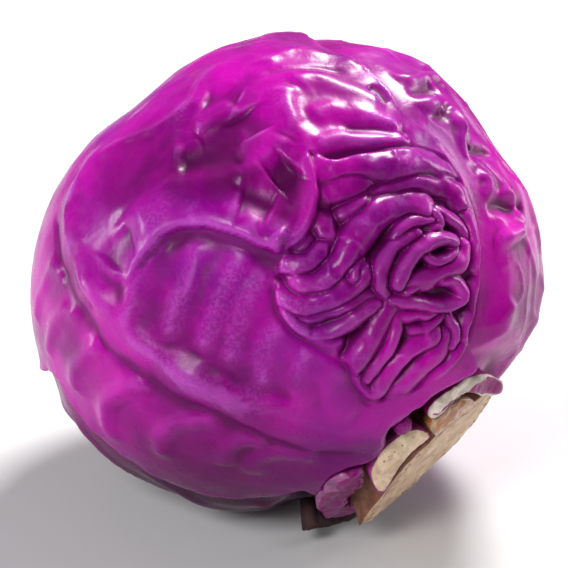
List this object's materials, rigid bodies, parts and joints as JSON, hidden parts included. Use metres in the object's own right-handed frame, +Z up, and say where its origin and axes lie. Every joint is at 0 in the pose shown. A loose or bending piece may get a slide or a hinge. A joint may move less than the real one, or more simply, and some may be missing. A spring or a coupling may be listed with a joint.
{
  "type": "red cabbage head",
  "caption": "Round head of wrapped, crinkled leaves with thick ribs, lying on its side, with a cut stem and trimmed leaf bases.",
  "frame": {"origin": "middle of the small flat spot that the head rests on, level with the table", "axes": "+Z up; -Y is the side the leaf's fold is seen from; the cut stem points low, towards +X and -Y"},
  "size_m": [0.1507, 0.1499, 0.1408],
  "materials": {
    "leaf": "waxy purple blade, paler over the ribs",
    "heart_leaf": "satin dark purple",
    "stem_cut": "dry, dull tan cut",
    "pale_cut": "moist pale cut",
    "brown_cut": "wet, glistening brown cut",
    "torn_leaf": "torn, whitish rim over dark purple",
    "dry_leaf": "dry, wrinkled dark brown"
  },
  "bodies": {
    "root": {"front_leaf": "leaf", "right_leaf": "leaf", "under_leaf": "leaf", "back_leaf": "leaf", "inner_head": "heart_leaf", "stem": "stem_cut", "cut_leaf_base": "pale_cut", "cut_leaf_base_brown": "brown_cut", "torn_leaf_base": "torn_leaf", "leaf_stub": "torn_leaf", "bud": "heart_leaf", "dry_leaf_scrap": "dry_leaf"}
  },
  "joints": []
}
